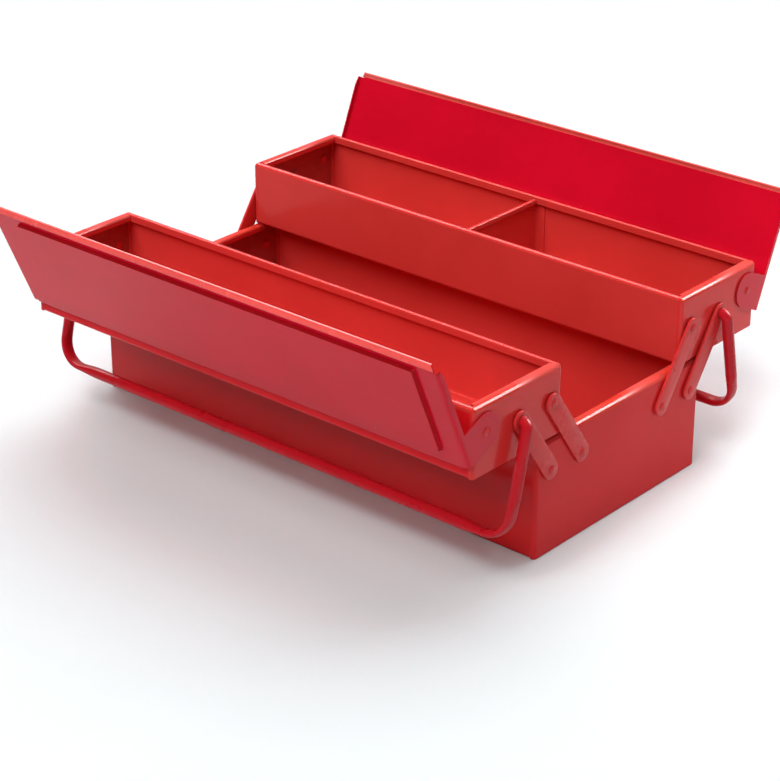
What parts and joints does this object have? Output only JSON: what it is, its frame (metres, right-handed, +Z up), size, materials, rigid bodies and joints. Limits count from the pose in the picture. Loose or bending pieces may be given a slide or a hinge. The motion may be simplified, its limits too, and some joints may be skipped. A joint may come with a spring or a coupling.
{
  "type": "cantilever tool box",
  "caption": "Steel tool box with a deep base and trays that swing out on parallel links at both sides, each with a hinged lid and a tubular bar handle.",
  "frame": {"origin": "centre of the underside of the base", "axes": "+X to the right end along the box's length, +Y to the rear, +Z up"},
  "size_m": [0.4646, 0.426, 0.1933],
  "materials": {
    "red_enamel": "gloss red enamel on folded sheet steel",
    "link_enamel": "gloss red enamel on flat steel bar",
    "handle_enamel": "gloss deep red enamel on steel tube",
    "rivet_enamel": "gloss red enamel over steel rivets, rubbed at the crown",
    "bare_steel": "bright zinc-plated steel"
  },
  "bodies": {
    "base": {"base_shell": "red_enamel", "base_end_left": "red_enamel", "base_end_right": "red_enamel", "base_pivot_rivets": "rivet_enamel", "base_link_washers": "bare_steel"},
    "front_link_a": {"front_link_a_left": "link_enamel", "front_link_a_right": "link_enamel"},
    "front_link_b": {"front_link_b_left": "link_enamel", "front_link_b_right": "link_enamel"},
    "front_tray": {"front_tray_shell": "red_enamel", "front_tray_end_left": "red_enamel", "front_tray_end_right": "red_enamel", "front_tray_rivets": "rivet_enamel", "front_tray_washers": "bare_steel"},
    "front_lid": {"front_lid": "red_enamel"},
    "front_handle": {"front_handle": "handle_enamel", "front_handle_retainers": "rivet_enamel"},
    "rear_link_a": {"rear_link_a_left": "link_enamel", "rear_link_a_right": "link_enamel"},
    "rear_link_b": {"rear_link_b_left": "link_enamel", "rear_link_b_right": "link_enamel"},
    "rear_tray": {"rear_tray_shell": "red_enamel", "rear_tray_end_left": "red_enamel", "rear_tray_end_right": "red_enamel", "rear_divider": "red_enamel", "rear_tray_rivets": "rivet_enamel", "rear_tray_washers": "bare_steel"},
    "rear_lid": {"rear_lid": "red_enamel"},
    "rear_handle": {"rear_handle": "handle_enamel", "rear_handle_retainers": "rivet_enamel"}
  },
  "joints": [
    {"name": "front_swing", "type": "hinge", "parent": "base", "child": "front_link_a", "pos_m": [0, -0.0492, 0.0686], "axis": [-1, 0, 0], "range_deg": [0, 69]},
    {"name": "front_outer_link_swing", "type": "hinge", "parent": "base", "child": "front_link_b", "pos_m": [0, -0.0857, 0.0686], "axis": [-1, 0, 0], "range_deg": [0, 69]},
    {"name": "front_tray_level", "type": "hinge", "parent": "front_link_a", "child": "front_tray", "pos_m": [0, -0.08488, 0.12052], "axis": [-1, 0, 0], "range_deg": [-69, 0]},
    {"name": "front_handle_swing", "type": "hinge", "parent": "front_link_b", "child": "front_handle", "pos_m": [0, -0.12138, 0.12052], "axis": [-1, 0, 0], "range_deg": [0, 128]},
    {"name": "front_lid_swing", "type": "hinge", "parent": "front_tray", "child": "front_lid", "pos_m": [0, -0.15867, 0.1264], "axis": [-1, 0, 0], "range_deg": [0, 113]},
    {"name": "rear_swing", "type": "hinge", "parent": "base", "child": "rear_link_a", "pos_m": [0, 0.0492, 0.0686], "axis": [1, 0, 0], "range_deg": [0, 69]},
    {"name": "rear_outer_link_swing", "type": "hinge", "parent": "base", "child": "rear_link_b", "pos_m": [0, 0.0857, 0.0686], "axis": [1, 0, 0], "range_deg": [0, 69]},
    {"name": "rear_tray_level", "type": "hinge", "parent": "rear_link_a", "child": "rear_tray", "pos_m": [0, 0.08488, 0.12052], "axis": [1, 0, 0], "range_deg": [-69, 0]},
    {"name": "rear_handle_swing", "type": "hinge", "parent": "rear_link_b", "child": "rear_handle", "pos_m": [0, 0.12138, 0.12052], "axis": [1, 0, 0], "range_deg": [0, 130]},
    {"name": "rear_lid_swing", "type": "hinge", "parent": "rear_tray", "child": "rear_lid", "pos_m": [0, 0.15867, 0.1264], "axis": [1, 0, 0], "range_deg": [0, 113]}
  ],
  "couplings": [
    {"joint": "front_outer_link_swing", "follows": "front_swing", "ratio": 1},
    {"joint": "front_tray_level", "follows": "front_swing", "ratio": -1},
    {"joint": "front_lid_swing", "follows": "front_handle_swing", "ratio": 0.88281},
    {"joint": "rear_outer_link_swing", "follows": "rear_swing", "ratio": 1},
    {"joint": "rear_tray_level", "follows": "rear_swing", "ratio": -1},
    {"joint": "rear_lid_swing", "follows": "rear_handle_swing", "ratio": 0.86923}
  ]
}
